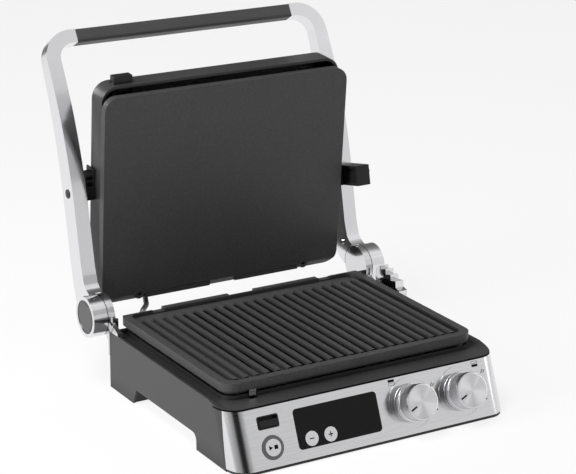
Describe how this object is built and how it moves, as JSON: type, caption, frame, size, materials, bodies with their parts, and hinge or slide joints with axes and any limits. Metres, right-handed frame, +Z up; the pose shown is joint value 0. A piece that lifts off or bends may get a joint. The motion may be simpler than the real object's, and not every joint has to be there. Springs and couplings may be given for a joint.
{
  "type": "indoor grill",
  "caption": "Countertop electric grill with a ribbed lower plate and a flat upper plate in a lid that hangs from a curved arch handle and closes or folds flat",
  "frame": {"origin": "middle of the bounding box, on the surface that the grill stands on", "axes": "+Z up, +Y towards the hinge at the back, +X to the right seen from the front"},
  "size_m": [0.368, 0.4357, 0.3651],
  "materials": {
    "housing_plastic": "fine moulded grain, matte",
    "black_plastic": "smooth satin black",
    "window_black": "gloss tinted window",
    "panel_steel": "brushed along its length",
    "arm_metal": "satin metallic coat",
    "knob_metal": "turned and satin",
    "plate_coat": "cast, dark non-stick coat",
    "grip_plastic": "soft matte",
    "ring_grey": "turned, dark grey",
    "cap_plastic": "satin dark grey",
    "bracket_steel": "satin plated",
    "cover_steel": "brushed along its length",
    "reflector_metal": "bright pressed sheet",
    "heater_steel": "heat darkened",
    "screw_steel": "bright plated",
    "board_green": "lacquered board",
    "thermostat_resin": "moulded resin",
    "sensor_brass": "turned",
    "ceramic": "fired and glazed",
    "rubber": "matte",
    "sleeve_grey": "smooth flexible sleeve"
  },
  "bodies": {
    "base": {"base_shell": "housing_plastic", "bottom_plate": "bracket_steel", "front_panel": "panel_steel", "display_window": "window_black", "display_board": "board_green", "start_ring": "ring_grey", "release_frame": "black_plastic", "knob_collars": "bracket_steel", "thermostats": "thermostat_resin", "control_board": "board_green", "lower_heater": "heater_steel", "lower_reflector": "reflector_metal", "plate_sensor": "sensor_brass", "tray_rails": "bracket_steel", "rubber_feet": "rubber", "hinge_brackets": "bracket_steel", "hinge_pins": "screw_steel", "step_rack": "bracket_steel", "cord_gland": "black_plastic", "wiring_sleeve": "sleeve_grey", "base_bushing": "black_plastic", "base_screws": "screw_steel"},
    "minus_key": {"minus_button": "knob_metal"},
    "plus_key": {"plus_button": "knob_metal"},
    "start_key": {"start_button": "knob_metal"},
    "release_key": {"release_button": "black_plastic"},
    "latch": {"plate_latch": "bracket_steel"},
    "knob_left": {"left_knob": "knob_metal"},
    "knob_right": {"right_knob": "knob_metal"},
    "grill_plate_low": {"lower_plate": "plate_coat"},
    "tray": {"drip_tray": "housing_plastic"},
    "hinge_collars": {"stop_collars": "bracket_steel"},
    "handle": {"left_arm": "arm_metal", "right_arm": "arm_metal", "handle_grip": "grip_plastic", "grip_core": "bracket_steel", "barrel_caps": "cap_plastic", "pivot_bolts": "screw_steel", "arm_plugs": "black_plastic", "arm_screws": "screw_steel"},
    "slider": {"height_slider": "black_plastic"},
    "slider_key": {"slider_button": "black_plastic"},
    "lugs": {"pivot_lugs": "black_plastic"},
    "lid": {"lid_housing": "housing_plastic", "lid_cover": "cover_steel", "upper_heater": "heater_steel", "upper_reflector": "reflector_metal", "latch_guides": "black_plastic", "lid_terminals": "ceramic", "lid_screws": "screw_steel", "lid_bushing": "black_plastic"},
    "grill_plate_top": {"upper_plate": "plate_coat"},
    "lid_key": {"lid_latch": "black_plastic"}
  },
  "joints": [
    {"name": "handle_flat", "type": "hinge", "parent": "base", "child": "hinge_collars", "pos_m": [0, 0.09051, 0.0785], "axis": [1, 0, 0], "range_deg": [-79.5, 0]},
    {"name": "handle_close", "type": "hinge", "parent": "hinge_collars", "child": "handle", "pos_m": [0, 0.09051, 0.0785], "axis": [1, 0, 0], "range_deg": [0, 97.9], "deforming": ["wiring_sleeve"]},
    {"name": "lid_level_closing", "type": "hinge", "parent": "handle", "child": "lugs", "pos_m": [0, 0.14451, 0.2002], "axis": [1, 0, 0], "range_deg": [-12.41, 0]},
    {"name": "lid_level_flat", "type": "hinge", "parent": "lugs", "child": "lid", "pos_m": [0, 0.14451, 0.2002], "axis": [1, 0, 0], "range_deg": [-15.01, 0]},
    {"name": "height_slide", "type": "slide", "parent": "handle", "child": "slider", "axis": [0, 0.2045, 0.9789], "range_m": [-0.044, 0]},
    {"name": "slider_press", "type": "slide", "parent": "slider", "child": "slider_key", "axis": [-1, 0, 0], "range_m": [0, 0.0015], "stiffness_N_per_m": 400},
    {"name": "lower_plate_lift", "type": "hinge", "parent": "base", "child": "grill_plate_low", "pos_m": [0, 0.07701, 0.067], "axis": [1, 0, 0], "range_deg": [-12, 0]},
    {"name": "upper_plate_lift", "type": "hinge", "parent": "lid", "child": "grill_plate_top", "pos_m": [0, 0.13055, 0.08064], "axis": [-1, 0, 0], "range_deg": [-12, 0]},
    {"name": "tray_slide", "type": "slide", "parent": "base", "child": "tray", "axis": [0, 1, 0], "range_m": [0, 0.12]},
    {"name": "left_knob_turn", "type": "hinge", "parent": "base", "child": "knob_left", "pos_m": [0.0475, -0.19018, 0.033], "axis": [0, 0.9205, -0.3907], "range_deg": [0, 270]},
    {"name": "right_knob_turn", "type": "hinge", "parent": "base", "child": "knob_right", "pos_m": [0.109, -0.19018, 0.033], "axis": [0, 0.9205, -0.3907], "range_deg": [0, 270]},
    {"name": "minus_press", "type": "slide", "parent": "base", "child": "minus_key", "axis": [0, 0.9205, -0.3907], "range_m": [0, 0.0012], "stiffness_N_per_m": 400},
    {"name": "plus_press", "type": "slide", "parent": "base", "child": "plus_key", "axis": [0, 0.9205, -0.3907], "range_m": [0, 0.0012], "stiffness_N_per_m": 400},
    {"name": "start_press", "type": "slide", "parent": "base", "child": "start_key", "axis": [0, 0.9205, -0.3907], "range_m": [0, 0.0012], "stiffness_N_per_m": 400},
    {"name": "release_press", "type": "slide", "parent": "base", "child": "release_key", "axis": [0, 0.9205, -0.3907], "range_m": [0, 0.003], "stiffness_N_per_m": 600},
    {"name": "latch_rock", "type": "hinge", "parent": "base", "child": "latch", "pos_m": [-0.119, -0.15359, 0.05], "axis": [1, 0, 0], "range_deg": [0, 14.01]},
    {"name": "lid_latch_press", "type": "slide", "parent": "lid", "child": "lid_key", "axis": [0, 0.0785, -0.9969], "range_m": [0, 0.004], "stiffness_N_per_m": 400}
  ],
  "couplings": [
    {"joint": "lid_level_closing", "follows": "handle_close", "ratio": -0.12666},
    {"joint": "lid_level_flat", "follows": "handle_flat", "ratio": 0.18868},
    {"joint": "latch_rock", "follows": "release_press", "rad_per_m": 81.449}
  ]
}
